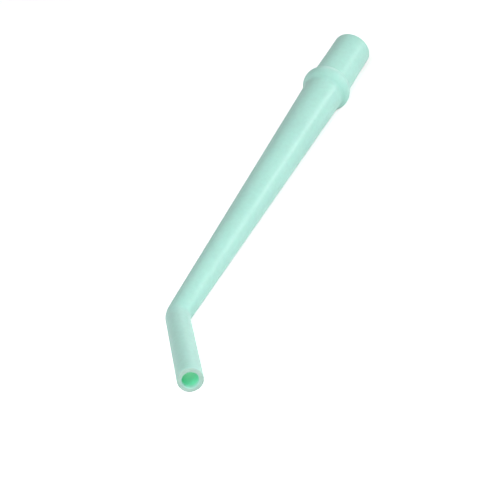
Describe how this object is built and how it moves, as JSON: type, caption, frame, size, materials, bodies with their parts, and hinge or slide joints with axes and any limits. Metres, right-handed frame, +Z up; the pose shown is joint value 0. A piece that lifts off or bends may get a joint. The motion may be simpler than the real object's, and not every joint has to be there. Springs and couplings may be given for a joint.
{
  "type": "surgical aspirator tip",
  "caption": "Slim tapered suction tube with a bent narrow tip, a rounded stop collar and a straight push-in connector, open from end to end.",
  "frame": {"origin": "middle of the box around the part, on the surface that it lies on", "axes": "+X along the shaft towards the connector, +Y away from the side that the tip bends to, +Z up from the surface"},
  "size_m": [0.1478, 0.0289, 0.0139],
  "materials": {
    "mint_plastic": "mint green moulded plastic with a soft satin surface, faintly translucent"
  },
  "bodies": {
    "root": {"aspirator_tip": "mint_plastic"}
  },
  "joints": []
}
